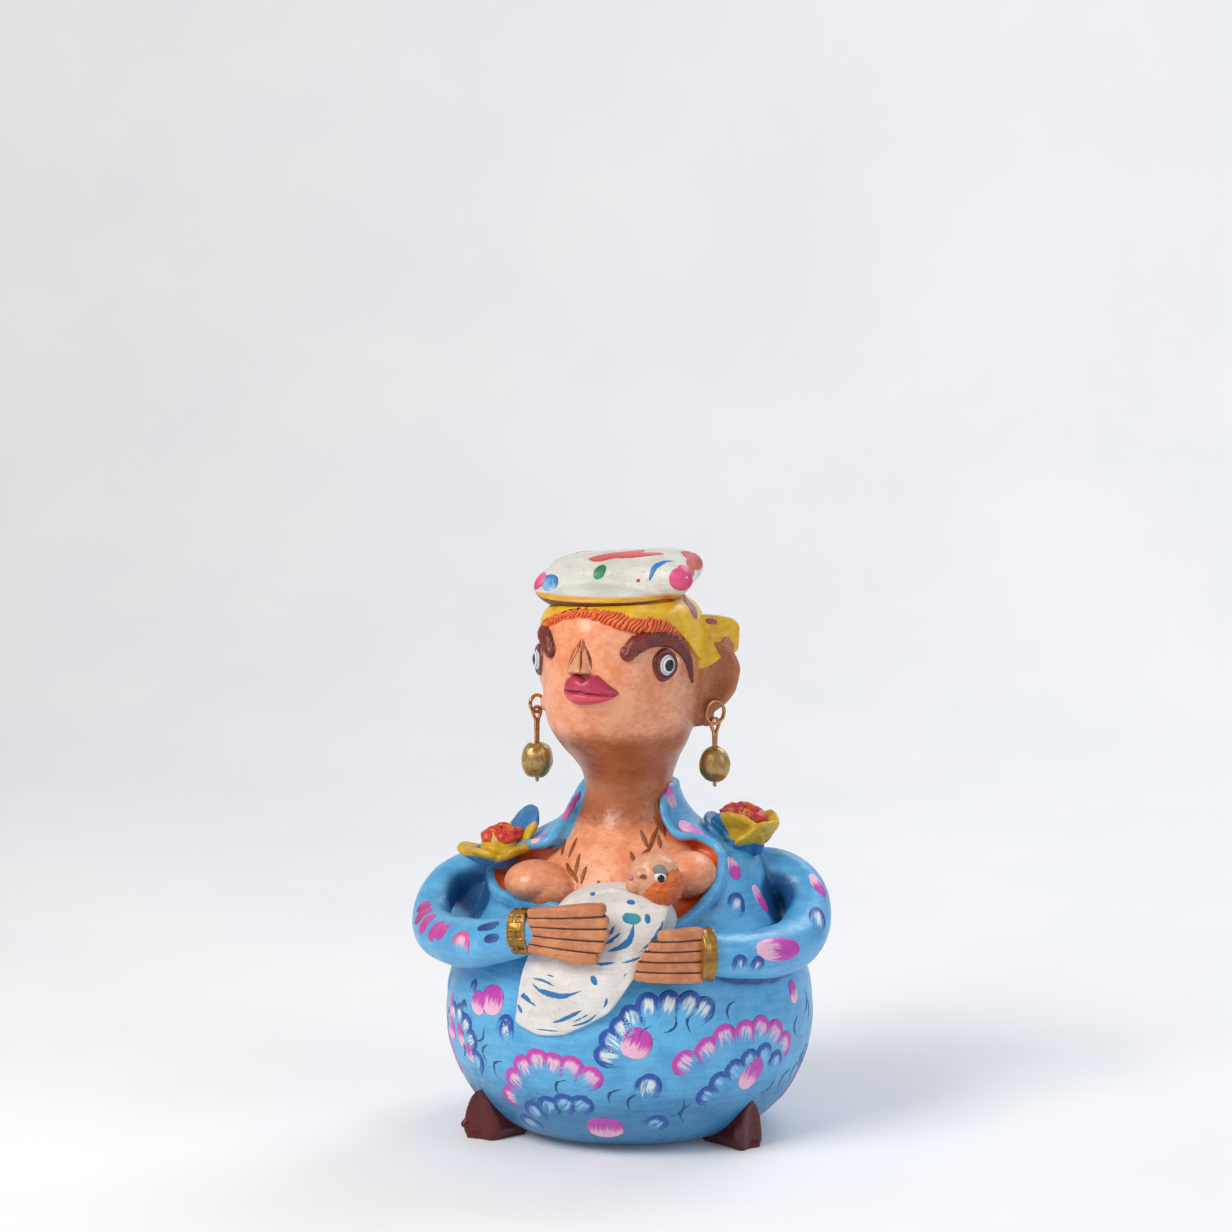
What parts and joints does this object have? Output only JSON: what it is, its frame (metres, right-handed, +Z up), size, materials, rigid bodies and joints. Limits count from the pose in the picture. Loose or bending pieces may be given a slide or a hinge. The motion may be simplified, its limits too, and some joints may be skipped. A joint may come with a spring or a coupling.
{
  "type": "clay figurine",
  "caption": "Hand-modelled painted clay figurine of a pot-bodied mother nursing a baby, with a cushion on her head and wire earrings with clay beads.",
  "frame": {"origin": "centre of the flat underside of the dress, on the ground", "axes": "+Z up; the figure's body faces -Y; +X is towards the figure's left arm, which is on the viewer's right"},
  "size_m": [0.0902, 0.0838, 0.1263],
  "materials": {
    "painted_clay": "painted and varnished fired clay",
    "earring_wire": "bare copper-coloured wire",
    "gilt_bead": "fired clay with worn gold paint"
  },
  "bodies": {
    "root": {"clay_figure": "painted_clay", "left_ear_hoop": "earring_wire", "left_drop_wire": "earring_wire", "left_bead": "gilt_bead", "right_ear_hoop": "earring_wire", "right_drop_wire": "earring_wire", "right_bead": "gilt_bead"}
  },
  "joints": []
}
